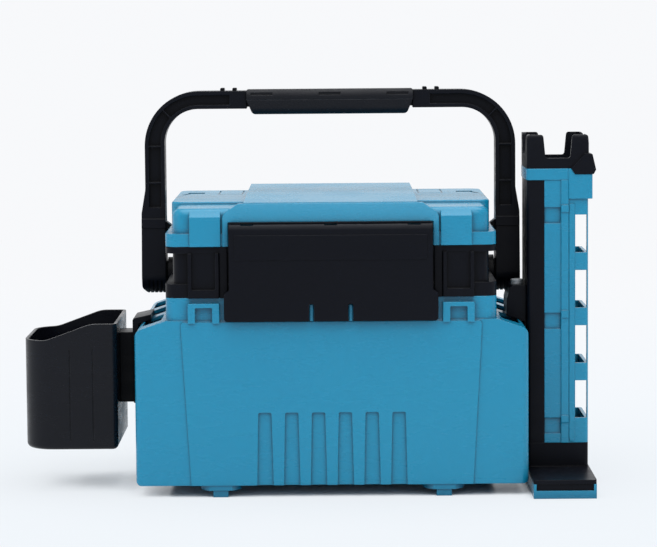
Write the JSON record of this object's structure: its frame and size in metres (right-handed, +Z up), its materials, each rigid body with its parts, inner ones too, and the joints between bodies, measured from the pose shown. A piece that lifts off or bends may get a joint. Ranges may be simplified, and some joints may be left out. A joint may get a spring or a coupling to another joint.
{
  "type": "fishing seat box",
  "caption": "Moulded tackle box to sit on, with hinged seat lid, wide front latch, folding handle, tray, hooked-on drink holder and rod stand.",
  "frame": {"origin": "on the ground, under the middle of the whole object's outer box, with holder and rod stand in place and handle up", "axes": "+X to the right seen from the latch side, towards the rod stand; +Y to the back, towards the lid hinge; +Z up, out of the seat"},
  "size_m": [0.462, 0.234, 0.3226],
  "materials": {
    "blue_plastic": "fine satin moulded polypropylene, sky blue",
    "black_plastic": "satin moulded plastic, black",
    "black_gloss": "smooth moulded plastic, black, slightly glossy",
    "grip_black": "fine-textured grip shell, black",
    "tray_plastic": "satin moulded plastic, dark",
    "steel": "plain stainless rod",
    "screw_steel": "pan-head screws",
    "grey_screw": "light grey moulded screw head",
    "rubber": "soft black rubber"
  },
  "bodies": {
    "box": {"case_tub": "blue_plastic", "collar_frame": "black_plastic", "collar_screws": "screw_steel", "inner_tray": "tray_plastic", "tray_dividers": "tray_plastic", "hinge_pins": "steel", "handle_pivot_pins": "steel", "cup_bracket": "black_plastic", "rod_bracket": "black_plastic", "rod_bracket_screw": "grey_screw"},
    "lid": {"lid_shell": "blue_plastic", "lid_seal": "rubber", "lid_inner_panel": "black_plastic", "lid_panel_screws": "screw_steel", "latch_pin": "steel"},
    "latch": {"latch_plate": "black_plastic"},
    "handle": {"handle_bow": "black_plastic", "grip_upper": "grip_black", "grip_lower": "grip_black", "grip_screws": "screw_steel", "pivot_caps": "black_plastic", "pivot_washers": "rubber"},
    "cup": {"cup_slide": "black_plastic", "cup_shell": "black_gloss", "cup_screws": "screw_steel"},
    "rod_stand": {"rod_spine": "black_plastic", "rod_shell": "blue_plastic", "rod_collar": "blue_plastic", "rod_crown": "black_plastic", "rod_foot": "black_plastic", "base_tray": "blue_plastic", "base_screws": "screw_steel", "butt_pad": "rubber"}
  },
  "joints": [
    {"name": "lid_hinge", "type": "hinge", "parent": "box", "child": "lid", "pos_m": [0.01702, 0.104, 0.2076], "axis": [-1, 0, 0], "range_deg": [0, 95]},
    {"name": "latch_hinge", "type": "hinge", "parent": "lid", "child": "latch", "pos_m": [0.01702, -0.1035, 0.2132], "axis": [-1, 0, 0], "range_deg": [0, 90]},
    {"name": "handle_fold", "type": "hinge", "parent": "box", "child": "handle", "pos_m": [0.01702, 0.016, 0.1696], "axis": [-1, 0, 0], "range_deg": [0, 98]},
    {"name": "cup_lift", "type": "slide", "parent": "box", "child": "cup", "axis": [0, 0, 1], "range_m": [0, 0.055]},
    {"name": "rod_stand_lift", "type": "slide", "parent": "box", "child": "rod_stand", "axis": [0, 0, 1], "range_m": [0, 0.055]}
  ],
  "couplings": [
    {"joint": "handle_fold", "follows": "lid_hinge", "ratio": 1.03}
  ]
}
